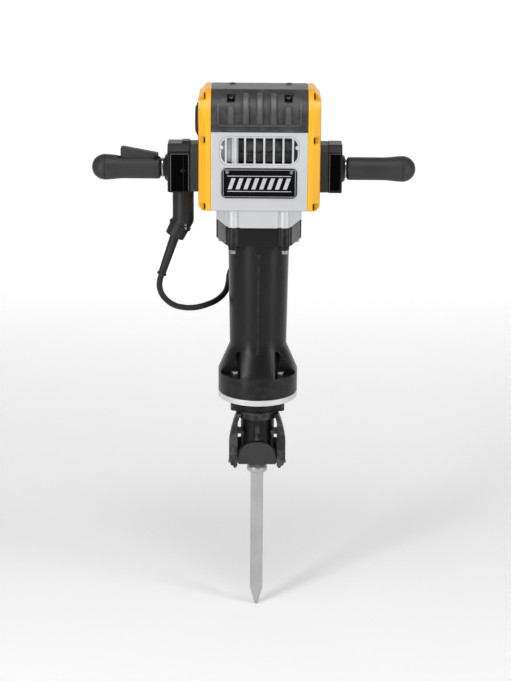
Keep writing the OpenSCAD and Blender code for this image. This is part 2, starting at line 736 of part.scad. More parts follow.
module tool_holder() color([0.13, 0.13, 0.14]) difference() {
  union() {
    rotate_extrude() polygon([
      [0, nose_z], [29, nose_z], [29, nose_z + 23], [holder_r, nose_z + 23], [holder_r, ring_z - 47],
      [48, ring_z - 47], [48, ring_z - 30], [guide_r, ring_z - 30], [guide_r, ring_z + ring_t - gap],
      [0, ring_z + ring_t - gap]
    ]);
    along_z(ring_z - 32, 31.5) round_rect([-59.5, -25], [59.5, 25], [8, 8, 8, 8]);
    both_sides() holder_arm();
    both_sides() translate([30, -40, nose_z + 78]) cube([16, 26, 8]);
    both_sides() translate([25, -6, nose_z + 5]) cube([20, 8, 52]);
    translate([-5.5, -holder_r - 4, slot_high + 4]) cube([11, 8, ring_z - 40 - slot_high]);
  }
  translate([0, 0, nose_z - 1]) cylinder(h = bush_top - nose_z + 1, r = bush_r);
  translate([0, 0, nose_z]) cylinder(h = holder_len + ring_t + 1, r = stem_bore_r);
  translate([-12, -60, slot_low]) cube([24, 52, slot_high - slot_low]);
  both_sides() bar_x(arm_in - 1, 30, latch_pin_r, latch_pin_y, latch_pin_z);
}

module tool_bush() color([0.60, 0.52, 0.35]) difference() {
  translate([0, 0, nose_z + 1]) cylinder(h = bush_top - nose_z - 1 - gap, r = bush_r - 0.02);
  hex_z(nose_z, bush_top - nose_z + 1, hex_flats + hex_play);
  translate([-12, -60, slot_low]) cube([24, 52, slot_high - slot_low]);
}

module retainer_pins() color([0.45, 0.45, 0.47]) both_sides()
  bar_x(35, 29, latch_pin_r, latch_pin_y, latch_pin_z);

flap_in = 35.6;
flap_out = 42;
flap_front = -46;
module retainer_flap() color([0.30, 0.30, 0.31]) difference() {
  union() {
    intersection() {
      along_z(latch_low - 17, 80) difference() {
        intersection() {
          union() {
            circle(flap_out + 4);
            translate([-flap_out, -40]) square([2 * flap_out, 28]);
          }
          translate([-flap_out, flap_front]) square([2 * flap_out, 34]);
        }
        circle(holder_r + 1.5);
        translate([-flap_in, -32]) square([2 * flap_in, 30]);
      }
      along_y(-60, 60) union() {
        translate([0, latch_low - 5]) circle(flap_out);
        translate([-flap_out, latch_low - 17]) square([2 * flap_out, 12]);
      }
    }
    translate([-10, flap_front + 4, latch_low + 3]) cube([20, -flap_front - 4 - 11, 18]);
  }
  both_sides() bar_x(30, 20, latch_pin_r + fit, latch_pin_y, latch_pin_z);
}

notch_low = nose_z + 16;
notch_high = nose_z + 70;
module chisel() color([0.72, 0.72, 0.73]) difference() {
  union() {
    hex_z(tool_z + point_len, shank_top - tool_z - point_len, hex_flats);
    translate([0, 0, tool_collar_z - tool_collar_h]) rotate_extrude()
      round_rect([0, 0], [tool_collar_r, tool_collar_h], [0, 7, 7, 0]);
    intersection() {
      hex_z(tool_z, point_len + 1, hex_flats);
      translate([0, 0, tool_z]) cylinder(h = point_len + 1, r1 = 3, r2 = hex_flats / sqrt(3) + 0.5);
    }
  }
  translate([-30, -40, notch_low]) cube([60, 30, notch_high - notch_low]);
}

// ---- grips ----

module box_front_profile(inset = 0) polygon([
  [-box_d / 2 + inset, box_bottom + inset], [box_d / 2 - inset, box_bottom + inset],
  [box_d / 2 - inset, box_top - 14], [box_d / 2 - 14, box_top - inset],
  [-box_d / 2 + 14, box_top - inset], [-box_d / 2 + inset, box_top - 14]
]);

module mounting_plates() color([0.28, 0.31, 0.31]) difference() {
  both_sides() along_x(plate_x, plate_t - gap) box_front_profile(1);
  both_sides() for (p = handle_bolt_places) bar_x(plate_x - 1, plate_t + 2, handle_bolt_r + gap, p.x, p.y);
}

module handle_bolts() color([0.60, 0.60, 0.62]) both_sides() for (p = handle_bolt_places) {
  bar_x(wall_x + 1, box_x + box_t + gap - wall_x - 1, handle_bolt_r, p.x, p.y);
  bar_x(box_x + box_t + gap, 5, 7, p.x, p.y);
}

// Hollow grip box between its mounting plate and outer wall, with a collar round the grip's neck
module grip_box(outer) difference() {
  union() {
    along_x(box_x, outer - box_x) box_front_profile();
    translate([outer - 1, 0, 0]) rotate([0, 90, 0]) cylinder(h = 8, r1 = 32, r2 = 26);
  }
  along_x(box_x + box_t, outer - box_x - 2 * box_t) box_front_profile(box_t);
  bar_x(outer - box_t - 1, 20, bellows_r + 3);
  for (p = handle_bolt_places) bar_x(box_x - 1, box_t + 2, handle_bolt_r + gap, p.x, p.y);
  bar_y(pivot_x, 0, -box_d / 2 - 1, box_d + 2, pivot_r);
}

lid_low = -45;
lid_high = 38;
elbow_r = 23;
elbow_neck_r = 12;
module switch_box() color([0.10, 0.10, 0.10]) difference() {
  union() {
    mirror([1, 0, 0]) grip_box(left_box_x);
    translate([-box_x - 18, -14, box_top - 0.1]) cube([17, 28, 4]);
  }
  translate([-left_box_x + 6, -box_d / 2 - 1, lid_low]) cube([left_box_x - box_x - 8, 6, lid_high - lid_low]);
  translate([-elbow_x, 0, box_bottom - 1]) cylinder(h = box_t + 2, r = elbow_neck_r + gap);
}

module switch_box_lid() color([0.02, 0.02, 0.02]) difference() {
  translate([-left_box_x + 6 + gap, -box_d / 2, lid_low + gap])
    cube([left_box_x - box_x - 8 - 2 * gap, box_t, lid_high - lid_low - 2 * gap]);
  bar_y(-pivot_x, 0, -box_d / 2 - 1, box_t + 2, pivot_r);
}

module plain_box() color([0.10, 0.10, 0.10]) grip_box(right_box_x);

module pivot_pins() color([0.62, 0.62, 0.64]) both_sides()
  bar_y(pivot_x, 0, -box_d / 2 + 0.5, box_d - 1, pivot_r - 0.01);

// Steel bar from its pivot out to the knob, drawn on the +X side
module grip_bar(start) difference() {
  union() {
    bar_x(pivot_x, start + grip_len - 8 - pivot_x, bar_r);
    bar_y(pivot_x, 0, -13, 26, eye_r);
  }
  bar_y(pivot_x, 0, -20, 40, pivot_r + fit);
}

module left_grip_bar() color([0.5, 0.5, 0.52]) mirror([1, 0, 0]) grip_bar(left_box_x + neck_w);
module right_grip_bar() color([0.5, 0.5, 0.52]) grip_bar(right_box_x + plain_neck_w);

// Moulded rubber grip that swells into its knob, with a ribbed neck, turned round the bar
neck_lap = 2.5;
swell = 42;
module grip_turned(outer, neck) translate([outer + neck, 0, 0]) rotate([0, 90, 0])
  rotate_extrude() difference() {
  union() {
    translate([0, -neck - neck_lap]) square([bellows_r - 2, neck + 3.5]);
    for (rib = [neck - 1:-5.5:2]) translate([0, -rib]) square([bellows_r, 3]);
    round_rect([0, 0], [grip_r, grip_len - 16], [0, 5, 0, 0]);
    polygon(concat([[0, grip_len - knob_r - swell]],
      [for (i = [0:8]) let (t = i / 8) [
        grip_r + (knob_r - grip_r) * (1 - cos(180 * t)) / 2, grip_len - knob_r - swell * (1 - t)
      ]],
      [[0, grip_len - knob_r]]));
    translate([0, grip_len - knob_r]) intersection() {
      circle(knob_r);
      translate([0, -1]) square([knob_r, knob_r + 1]);
    }
  }
  translate([-1, -neck - neck_lap - 1]) square([bar_r + 1.01, neck + neck_lap + grip_len - 7]);
  translate([-40, -60]) square([40, 300]);
}

slot_in = left_box_x + neck_w + 2;
slot_len = 88;
slot_half = 11;
trigger_pin_x = slot_in + 8;
module left_grip() color([0.15, 0.15, 0.16]) difference() {
  mirror([1, 0, 0]) grip_turned(left_box_x, neck_w);
  translate([-slot_in - slot_len, -slot_half, bar_r + 0.5]) cube([slot_len, 2 * slot_half, 40]);
  bar_x(-slot_in - 1, 30, 2.6, 0, rod_z);
  bar_y(-trigger_pin_x, trigger_pin_z, -16, 32, 3);
}

module right_grip() color([0.15, 0.15, 0.16]) grip_turned(right_box_x, plain_neck_w);

trigger_half = 10;
module trigger() color([0.09, 0.09, 0.10]) difference() {
  along_y(-trigger_half, 2 * trigger_half) polygon([
    [-trigger_pin_x + 5, rod_z - 1], [-trigger_pin_x + 5, 31], [-trigger_pin_x - 70, 45],
    [-trigger_pin_x - 75, 43], [-trigger_pin_x - 75, 22], [-trigger_pin_x - 2, rod_z]
  ]);
  bar_y(-trigger_pin_x, trigger_pin_z, -20, 40, 3 + fit);
}

module trigger_pin() color([0.6, 0.6, 0.62]) bar_y(-trigger_pin_x, trigger_pin_z, -15, 30, 2.99);

// Switch body above the pivot; the rod's end presses its side
switch_x = pivot_x + 12;
module switch() color([0.10, 0.10, 0.11])
  translate([-switch_x, -12, rod_z + 1]) cube([switch_x - box_x - box_t - 1, 24, 26]);

module switch_rod() color([0.6, 0.6, 0.62])
  bar_x(-trigger_pin_x + 5.3, trigger_pin_x - 5.3 - switch_x - 2.2, 2, 0, rod_z);

// ---- cord ----

elbow_tilt = atan2(elbow_x + elbow_end.x, elbow_z - elbow_end.z);
module cord_elbow() color([0.13, 0.13, 0.14]) {
  difference() {
    union() {
      translate([-elbow_x, 0, elbow_z]) cylinder(h = box_bottom - elbow_z - gap, r = elbow_r);
      translate([-elbow_x, 0, elbow_z]) sphere(elbow_r);
      translate([-elbow_x, 0, elbow_z]) rotate([0, 180 - elbow_tilt, 0])
        cylinder(h = norm([elbow_x + elbow_end.x, elbow_z - elbow_end.z]), r1 = elbow_r, r2 = elbow_r - 2);
      translate([-elbow_x, 0, box_bottom - 5]) cylinder(h = 12, r = elbow_neck_r);
    }
    translate([-elbow_x, 0, box_bottom - 30]) cylinder(h = 60, r = 8);
    translate(elbow_end) rotate([0, -elbow_tilt, 0]) translate([0, 0, -2]) cylinder(h = 8, r = 13.5);
  }
}

relief_dir = relief_end - relief_start;
relief_tilt = atan2(relief_dir.x, relief_dir.z);
module strain_relief() color([0.10, 0.10, 0.11]) translate(relief_start) rotate([0, relief_tilt, 0]) {
  cylinder(h = norm(relief_dir), r1 = 10.5, r2 = 8.4);
  cylinder(h = 5, r = 12);
  translate([0, 0, norm(relief_dir) - 4]) cylinder(h = 4, r = 10.5);
}

// Tube swept along a list of points, with flat ends square to the route
CORD_SIDES = 10;
function tangent(p, i) = let (d = p[min(i + 1, len(p) - 1)] - p[max(i - 1, 0)]) d / norm(d);
function across(t) = let (s = cross(t, [0, 1, 0])) s / norm(s);
function ring_points(p, i, r) = let (t = tangent(p, i), u = across(t), v = cross(t, u))
  [for (k = [0:CORD_SIDES - 1]) p[i] + r * (cos(360 * k / CORD_SIDES) * u + sin(360 * k / CORD_SIDES) * v)];
module swept_tube(p, r) {
  n = CORD_SIDES;
  last = len(p) - 1;
  polyhedron(
    points = [for (i = [0:last]) each ring_points(p, i, r)],
    faces = concat(
      [[for (k = [0:n - 1]) k]],
      [for (i = [0:last - 1], k = [0:n - 1]) let (next = (k + 1) % n)
        [i * n + k, (i + 1) * n + k, (i + 1) * n + next, i * n + next]],
      [[for (k = [n - 1:-1:0]) last * n + k]]),
    convexity = 6);
}

module cord_run() color([0.07, 0.07, 0.07]) swept_tube(CORD, cord_r);

hank_out_r = hank_in_r + (hank_rings - 0.5) * cord_d;
module hank_outline(r) {
  for (side = [-1, 1]) translate([0, hank_z + side * hank_half]) circle(r);
  translate([-r, hank_z - hank_half]) square([2 * r, 2 * hank_half]);
}
module cord_hank() color([0.07, 0.07, 0.07]) along_y(hank_y, hank_layers * cord_d) difference() {
  hank_outline(hank_out_r);
  hank_outline(hank_in_r - cord_r);
}

plug_z = -332;
module mains_plug() color([0.08, 0.08, 0.08]) {
  along_z(plug_z, 52) round_rect([-18, hank_y + 2], [18, hank_y + 40], [8, 8, 8, 8]);
  both_sides() translate([7, hank_y + 18, plug_z - 19]) cube([1.5, 7, 20]);
}

cast_case();
top_cover();
rear_cover();
left_side_cover();
right_side_cover();
cover_screws();
motor_cap();
window_grille();
name_plate();
name_plate_rivets();
barrel();
collar_bolts();
flange_bolts();
bright_ring();
air_cylinder();
cylinder_seals();
anvil_guide();
tool_holder();
tool_bush();
retainer_pins();
retainer_flap();
stator();
field_coils();
motor_bracket();
brush_holders();
carbon_brushes();
armature_shaft();
armature_core();
commutator();
cooling_fan();
motor_bearings();
countershaft();
fast_wheel();
gear_bearings();
crankshaft();
crank_gear();
connecting_rod();
piston();
striker();
impact_bolt();
chisel();
mounting_plates();
handle_bolts();
switch_box();
switch_box_lid();
plain_box();
pivot_pins();
left_grip_bar();
left_grip();
right_grip_bar();
right_grip();
trigger();
trigger_pin();
switch();
switch_rod();
cord_elbow();
strain_relief();
cord_run();
cord_hank();
mains_plug();
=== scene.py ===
# %% [markdown]
# # An electric demolition hammer
#
# The hammer's true shapes were drawn in CAD. This file gives them what CAD leaves out: rounded
# edges, pressed ribs, screws, a real cord, and paint, plastic, rubber and steel. Every length
# below is written in millimetres and turned into metres once, by `mm`.

# %% The frame and a unit
import json
import math

import bmesh
import bpy
from mathutils import Matrix, Vector

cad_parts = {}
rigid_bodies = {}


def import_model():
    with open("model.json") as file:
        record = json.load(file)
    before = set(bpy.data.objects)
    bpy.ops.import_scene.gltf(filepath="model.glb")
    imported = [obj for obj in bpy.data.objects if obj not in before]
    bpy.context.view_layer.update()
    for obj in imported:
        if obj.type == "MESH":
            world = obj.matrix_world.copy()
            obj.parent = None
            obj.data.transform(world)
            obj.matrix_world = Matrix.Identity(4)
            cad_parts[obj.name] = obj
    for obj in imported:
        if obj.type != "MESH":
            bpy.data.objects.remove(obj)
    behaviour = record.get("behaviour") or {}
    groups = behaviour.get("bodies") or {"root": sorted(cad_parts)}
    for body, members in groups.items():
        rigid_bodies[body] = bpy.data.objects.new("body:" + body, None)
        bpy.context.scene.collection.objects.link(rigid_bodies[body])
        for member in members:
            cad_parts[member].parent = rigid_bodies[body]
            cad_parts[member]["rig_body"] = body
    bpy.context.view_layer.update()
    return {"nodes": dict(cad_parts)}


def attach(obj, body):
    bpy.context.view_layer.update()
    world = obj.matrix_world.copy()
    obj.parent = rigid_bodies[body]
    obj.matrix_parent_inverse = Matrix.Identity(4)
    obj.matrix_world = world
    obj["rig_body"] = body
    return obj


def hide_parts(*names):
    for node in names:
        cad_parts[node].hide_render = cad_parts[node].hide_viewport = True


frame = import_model()
nodes = frame["nodes"]
MM = 0.001


def mm(x, y, z):
    """A point given in millimetres."""
    return Vector((x, y, z)) * MM


# %% [markdown]
# ## Camera
#
# The hammer stands upright and is seen from 17 degrees above, from four metres away. At that
# distance a long lens keeps the sides nearly parallel. A camera could be placed by eye, but
# stating a target, a pitch and a distance makes the view easy to check. The last small turn
# about the lens axis gives the hammer its slight lean.

# %% Camera
TARGET = mm(0, 0, -386)
PITCH = math.radians(17)
DISTANCE = 4.0
LEAN = math.radians(0.43)
IMAGE_SIDE, SIDE_STEP = 681, -2.5
camera = bpy.data.objects.new("Camera", bpy.data.cameras.new("Camera"))
bpy.context.scene.collection.objects.link(camera)
bpy.context.scene.camera = camera
back = Vector((0, -math.cos(PITCH), math.sin(PITCH)))
turn = (-back).to_track_quat("-Z", "Y").to_matrix() @ Matrix.Rotation(LEAN, 3, "Z")
camera.matrix_world = Matrix.Translation(TARGET + back * DISTANCE) @ turn.to_4x4()
camera.data.lens = 96.1
camera.data.sensor_width = 36
camera.data.shift_x = SIDE_STEP / IMAGE_SIDE
camera.data.clip_end = 50
print("camera at", [round(x, 3) for x in camera.location])

# %% [markdown]
# ## Shader arithmetic
#
# Materials are graphs of nodes. Wiring them by hand takes four lines for each sum, so one small
# class wraps what a node gives out and lets Python's own signs add the Math nodes. A board
# keeps the graph of one material, and its one method `node` makes any other node.

# %% A reading that can be added and multiplied
class Reading:
    """A value that a node gives out, ready for plain arithmetic."""

    def __init__(self, board, socket):
        self.board, self.socket = board, socket

    def worked(self, operation, a, b):
        return self.board.node("ShaderNodeMath", {"operation": operation}, {0: a, 1: b})

    def __add__(self, other):
        return self.worked("ADD", self, other)

    def __radd__(self, other):
        return self.worked("ADD", other, self)

    def __sub__(self, other):
        return self.worked("SUBTRACT", self, other)

    def __rsub__(self, other):
        return self.worked("SUBTRACT", other, self)

    def __mul__(self, other):
        return self.worked("MULTIPLY", self, other)

    def __rmul__(self, other):
        return self.worked("MULTIPLY", other, self)


# %% A board that holds one material's nodes
class Board:
    """One material and the nodes on it."""

    def __init__(self, name):
        self.material = bpy.data.materials.new(name)
        self.material.use_nodes = True
        self.tree = self.material.node_tree
        self.tree.nodes.clear()
        self.place = self.node("ShaderNodeTexCoord", out="Object")

    def node(self, kind, settings=None, inputs=None, out=0):
        made = self.tree.nodes.new(kind)
        for name, value in (settings or {}).items():
            if name == "stops":
                ramp = made.color_ramp.elements
                while len(ramp) < len(value):
                    ramp.new(1.0)
                for stop, (at, grey) in zip(ramp, value):
                    stop.position, stop.color = at, (grey, grey, grey, 1)
            else:
                setattr(made, name, value)
        for key, value in (inputs or {}).items():
            if isinstance(value, Reading):
                self.tree.links.new(value.socket, made.inputs[key])
            else:
                made.inputs[key].default_value = value
        return Reading(self, made.outputs[out])

    def noise(self, scale, detail=3, stretch=None):
        place = self.place
        if stretch:
            place = self.node("ShaderNodeMapping", inputs={"Vector": place, "Scale": stretch})
        return self.node("ShaderNodeTexNoise", inputs={"Vector": place, "Scale": scale, "Detail": detail})

    def ramp(self, value, *stops):
        return self.node("ShaderNodeValToRGB", {"stops": stops}, {0: value})

    def mix(self, first, second, factor):
        return self.node("ShaderNodeMix", {"data_type": "RGBA"}, {0: factor, 6: first, 7: second}, out=2)

    def bump(self, height, depth, below=None):
        """Relief of the given depth in millimetres."""
        inputs = {"Height": height, "Distance": depth * MM, "Strength": 1.0}
        if below:
            inputs["Normal"] = below
        return self.node("ShaderNodeBump", inputs=inputs)

    def shine(self, **sockets):
        """Ends the graph in one shader; words stand for its sockets' names."""
        inputs = {
            name.replace("_", " ").title().replace("Ior", "IOR"): value for name, value in sockets.items()
        }
        shader = self.node("ShaderNodeBsdfPrincipled", inputs=inputs, out="BSDF")
        output = self.tree.nodes.new("ShaderNodeOutputMaterial")
        self.tree.links.new(shader.socket, output.inputs["Surface"])
        return self.material


print("shader tools ready")

# %% [markdown]
# ## Mains cord
#
# The cord is thirteen millimetres of rubber. It hangs from the strain relief of the switch box,
# swings in one loose curve behind the barrel, and the rest of its length is put away in an
# upright hank: eight laps, two side by side and four deep. The plug rests in the hank's hole.
# A cord could be a bent tube modelled by hand, but a curve with a round bevel keeps its
# thickness and length by itself, and its own line is the centreline.

# %% The loose stretch of the cord
CORD_RADIUS = 6.5
ROUTE = [
    (-211, 0, -237), (-215, 0, -252), (-215, 0, -268), (-209, 0, -284), (-198, 1, -297),
    (-183, 2, -307), (-166, 4, -312), (-148, 7, -314), (-130, 12, -313), (-113, 20, -310),
    (-97, 31, -306), (-85, 44, -301), (-75.5, 57, -294), (-69.5, 69, -285), (-66.4, 79, -272),
    (-65, 85, -259), (-58, 86, -240),
]
HANK_Z, HANK_HALF = -280, 60
LAPS = [(52, 86), (52, 73), (39, 73), (39, 86), (39, 99), (52, 99), (52, 112), (39, 112)]


def lap(radius, depth, came_from):
    """One lap of the hank, up the left side, over the top and down the right side."""
    top, low = HANK_Z + HANK_HALF, HANK_Z - HANK_HALF
    old_radius, old_depth = came_from
    points = []
    for share in (0.25, 0.5, 0.75, 1.0):
        soft = share * share * (3 - 2 * share)
        points.append((
            -old_radius - (radius - old_radius) * soft,
            old_depth + (depth - old_depth) * soft,
            low + 2 * HANK_HALF * share,
        ))
    for step in range(1, 8):
        turn = math.pi * (1 - step / 8)
        points.append((radius * math.cos(turn), depth, top + radius * math.sin(turn)))
    points += [(radius, depth, top - 2 * HANK_HALF * share) for share in (0, 0.33, 0.67, 1)]
    for step in range(1, 9):
        turn = -math.pi * step / 8
        points.append((radius * math.cos(turn), depth, low + radius * math.sin(turn)))
    return points


hank = []
for number, (radius, depth) in enumerate(LAPS):
    came_from = LAPS[max(number - 1, 0)]
    turns = lap(radius, depth, came_from)
    if number == 0:
        turns = turns[3:]
    if number == len(LAPS) - 1:
        turns = turns[:12]
    hank += turns
print(len(ROUTE), "points hang loose,", len(hank), "points lie in the hank")

# %% [markdown]
# The last lap leaves the ring on its right side, dives into the hole in two easy arcs, and
# ends inside the plug. The arcs' radius is three diameters, as tight as a hank's folds.

# %% The cord's way into the plug
BEND, HANK_TOP, SECOND_ARC_Z = 39, HANK_Z + HANK_HALF, -287.5
dive = []
for degrees in (20, 40, 60):
    turn = math.radians(-degrees)
    dive.append((BEND * math.cos(turn), 112 - 0.15 * degrees, HANK_TOP + BEND * math.sin(turn)))
for degrees in (140, 160, 180):
    turn = math.radians(degrees)
    deep = 103 - 0.25 * (degrees - 120)
    dive.append((BEND + BEND * math.cos(turn), deep, SECOND_ARC_Z + BEND * math.sin(turn)))
dive.append((0, 87.5, -297))

cord_curve = bpy.data.curves.new("mains_cord", "CURVE")
cord_curve.dimensions = "3D"
cord_curve.bevel_depth = 1
cord_curve.bevel_resolution = 4
cord_curve.resolution_u = 5
cord_curve.use_fill_caps = True
line = cord_curve.splines.new("BEZIER")
path = ROUTE + hank + dive
line.bezier_points.add(len(path) - 1)
for point, place in zip(line.bezier_points, path):
    point.co = mm(*place)
    point.handle_left_type = point.handle_right_type = "AUTO"
    point.radius = CORD_RADIUS * MM
cord = bpy.data.objects.new("mains_cord", cord_curve)
bpy.context.scene.collection.objects.link(cord)
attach(cord, "housing")
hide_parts("cord_run", "cord_hank")

# %% [markdown]
# ## Finishes
#
# Each real surface has three things at three scales: a slow change of colour from handling and
# casting, a fine grain that breaks up the light, and edges that are a little worn. A flat
# colour has none of them. `surface` builds the three for most materials, and each finish gives
# its own numbers: two colours to drift between, the scales of the drift and of the grain, the
# grain's depth in millimetres, and the range of roughness. Dark plastics get a weaker sheen.
# All patterns are tied to the object's own place, in metres, so nothing slides.

# %% A painted, moulded or cast surface
DARK = 0.07
# Painted shade near the hammer's axis fades out between these two distances.
AXIS_SHADE_START, AXIS_SHADE_END = 0.0015, 0.0019  # square metres: the distance from the axis, squared


def surface(name, colour, shade, patch, grain, depth, rough, metal=0.0, worn=None, sheen=None, core=None):
    """`worn` is the colour of rubbed edges, and `core` the colour of a painted shade laid on the part near
    the hammer's axis.
    """
    board = Board(name)
    sheen = sheen or (0.25 if max(colour) < DARK else 0.5)
    cloud = board.ramp(board.noise(patch, 3), (0.25, 0.0), (0.75, 1.0))
    fine = board.noise(grain, 2)
    look = board.mix((*shade, 1), (*colour, 1), cloud)
    # Painted shade: the part near the hammer's axis, deep between the tool holder's arms, is darkened towards
    # `core`.
    if core:
        across = board.node("ShaderNodeSeparateXYZ", inputs={"Vector": board.place}, out="X")
        out_of_axis_shade = board.ramp(across * across, (AXIS_SHADE_START, 0.0), (AXIS_SHADE_END, 1.0))
        look = board.mix((*core, 1), look, out_of_axis_shade)
    if worn:
        edge = board.node("ShaderNodeNewGeometry", out="Pointiness")
        chance = board.ramp(board.noise(60, 3), (0.42, 0.0), (0.62, 1.0))
        rubbed = board.ramp(edge, (0.515, 0.0), (0.56, 1.0)) * chance
        look = board.mix(look, (*worn, 1), rubbed)
    roughness = cloud * (rough[1] - rough[0]) + fine * 0.06 + (rough[0] - 0.03)
    return board.shine(base_color=look, roughness=roughness, metallic=metal, specular_ior_level=sheen,
                       normal=board.bump(fine, depth))


cast_silver = surface(
    "cast_silver", (0.60, 0.61, 0.63), (0.54, 0.55, 0.57), 7, 650, 0.06, (0.34, 0.42), 0.25,
)
cover_yellow = surface(
    "cover_yellow", (0.90, 0.44, 0.008), (0.86, 0.40, 0.006), 6, 1100, 0.03, (0.34, 0.40),
)
cover_dark = surface(
    "cover_dark", (0.040, 0.040, 0.042), (0.034, 0.034, 0.036), 7, 1000, 0.06, (0.34, 0.42),
    worn=(0.075, 0.075, 0.078),
)
barrel_black = surface(
    "barrel_black", (0.0085, 0.0085, 0.009), (0.0065, 0.0065, 0.007), 8, 800, 0.05, (0.30, 0.36),
    worn=(0.028, 0.028, 0.03),
)
box_black = surface(
    "box_black", (0.010, 0.010, 0.0105), (0.008, 0.008, 0.0085), 12, 1000, 0.05, (0.32, 0.42),
)
lid_black = surface(
    "lid_black", (0.0012, 0.0012, 0.0012), (0.0008, 0.0008, 0.0008), 12, 1500, 0.01, (0.24, 0.3),
    sheen=0.04,
)
# The tool holder's middle near the axis gets a painted shade through `core`.
holder_grey = surface(
    "holder_grey", (0.026, 0.026, 0.0265), (0.020, 0.020, 0.0205), 15, 600, 0.09, (0.40, 0.52),
    worn=(0.075, 0.075, 0.077), core=(0.002, 0.002, 0.002),
)
flap_rubber = surface(
    "flap_rubber", (0.040, 0.040, 0.040), (0.031, 0.031, 0.031), 18, 700, 0.06, (0.48, 0.58),
)
spacer_grey = surface(
    "spacer_grey", (0.034, 0.042, 0.042), (0.027, 0.034, 0.034), 16, 900, 0.04, (0.42, 0.52),
)
cap_dark = surface("cap_dark", (0.016, 0.015, 0.0145), (0.011, 0.010, 0.010), 16, 900, 0.05, (0.4, 0.5))
plate_black = surface(
    "plate_black", (0.0035, 0.0035, 0.004), (0.0025, 0.0025, 0.003), 12, 1500, 0.01, (0.26, 0.34),
    sheen=0.08,
)
mark_silver = surface(
    "mark_silver", (0.62, 0.62, 0.64), (0.52, 0.52, 0.54), 30, 1200, 0.02, (0.3, 0.42), 0.3,
)
ring_bright = surface(
    "ring_bright", (0.66, 0.67, 0.68), (0.56, 0.57, 0.58), 20, 800, 0.03, (0.28, 0.40), 0.3,
)
bolt_zinc = surface("bolt_zinc", (0.55, 0.55, 0.56), (0.40, 0.40, 0.41), 60, 900, 0.02, (0.2, 0.34), 1.0)
screw_black = surface(
    "screw_black", (0.02, 0.02, 0.021), (0.012, 0.012, 0.013), 80, 900, 0.03, (0.3, 0.45), 0.6,
)
steel_ground = surface(
    "steel_ground", (0.50, 0.50, 0.52), (0.38, 0.38, 0.40), 40, 1400, 0.015, (0.18, 0.34), 1.0,
)
steel_dark = surface("steel_dark", (0.25, 0.25, 0.26), (0.17, 0.17, 0.18), 40, 900, 0.03, (0.3, 0.5), 1.0)
bronze_turned = surface(
    "bronze_turned", (0.50, 0.34, 0.15), (0.40, 0.27, 0.12), 40, 1300, 0.02, (0.22, 0.38), 1.0,
)
# The ribs are moulded in the cover's own plastic; their lighter colour is a painted highlight for the light
# their edges catch.
rib_painted_highlight = surface("rib_painted_highlight", (0.085, 0.085, 0.088), (0.060, 0.060, 0.062), 12, 1000, 0.05, (0.34, 0.42))
# highlight_grey is a painted highlight for the edges of the lid and the plain box.
highlight_grey = surface("highlight_grey", (0.16, 0.16, 0.165), (0.11, 0.11, 0.115), 25, 1200, 0.03, (0.3, 0.4))
# shade_sheet_black stands for the shade inside the housing.
shade_sheet_black = surface("shade_sheet_black", (0.010, 0.010, 0.010), (0.006, 0.006, 0.006), 60, 2500, 0.2, (0.8, 0.9))
brush_carbon = surface(
    "brush_carbon", (0.02, 0.02, 0.021), (0.014, 0.014, 0.015), 60, 1500, 0.03, (0.4, 0.55),
)
strap_nylon = surface(
    "strap_nylon", (0.014, 0.014, 0.015), (0.009, 0.009, 0.010), 30, 1800, 0.12, (0.6, 0.75),
)
print(len(bpy.data.materials), "finishes so far")

# %% [markdown]
# Four surfaces have a direction or a cell of their own. The grips are moulded with a fine
# leather grain, which a Voronoi pattern gives. The chisel is drawn steel: its streaks run along
# the shank, so the noise is squeezed across it and stretched down it. The motor's core is a
# stack of thin sheets, and its coils are wire, both of which a band pattern shows.

# %% Grip rubber with a leather grain
def leather_grip(name, colour, shade, cell, depth, rough):
    board = Board(name)
    pebble = board.node("ShaderNodeTexVoronoi", {"feature": "SMOOTH_F1"},
                        {"Vector": board.place, "Scale": cell, "Smoothness": 0.6}, out="Distance")
    cloud = board.ramp(board.noise(10, 3), (0.35, 0.0), (0.65, 1.0))
    look = board.mix((*shade, 1), (*colour, 1), cloud)
    relief = board.bump(board.noise(1200, 2), 0.03, below=board.bump(1 - pebble, depth))
    return board.shine(base_color=look, roughness=cloud * 0.08 + rough, specular_ior_level=0.3,
                       normal=relief)


grip_rubber = leather_grip("grip_rubber", (0.031, 0.031, 0.032), (0.025, 0.025, 0.026), 650, 0.10, 0.44)
elbow_rubber = leather_grip("elbow_rubber", (0.016, 0.016, 0.0165), (0.012, 0.012, 0.0125), 900, 0.05, 0.40)
cord_rubber = leather_grip("cord_rubber", (0.016, 0.016, 0.0165), (0.011, 0.011, 0.0115), 1400, 0.04, 0.38)
cord_curve.materials.append(cord_rubber)


# %% Drawn steel, sheet stacks and wound wire
def drawn_steel(name, colour, shade, metal):
    board = Board(name)
    streak = board.noise(260, 3, stretch=(1, 1, 0.05))
    cloud = board.ramp(board.noise(16, 4), (0.3, 0.0), (0.7, 1.0))
    look = board.mix((*shade, 1), (*colour, 1), streak * 0.5 + cloud * 0.5)
    return board.shine(base_color=look, roughness=streak * 0.2 + 0.24, metallic=metal,
                       normal=board.bump(streak, 0.05))


def banded(name, colour, shade, bands, depth, metal):
    board = Board(name)
    wave = board.node("ShaderNodeTexWave", {"bands_direction": "X"},
                      {"Vector": board.place, "Scale": bands, "Distortion": 0.3, "Detail": 1}, out="Fac")
    look = board.mix((*shade, 1), (*colour, 1), wave)
    return board.shine(base_color=look, roughness=wave * 0.15 + 0.3, metallic=metal,
                       normal=board.bump(wave, depth))


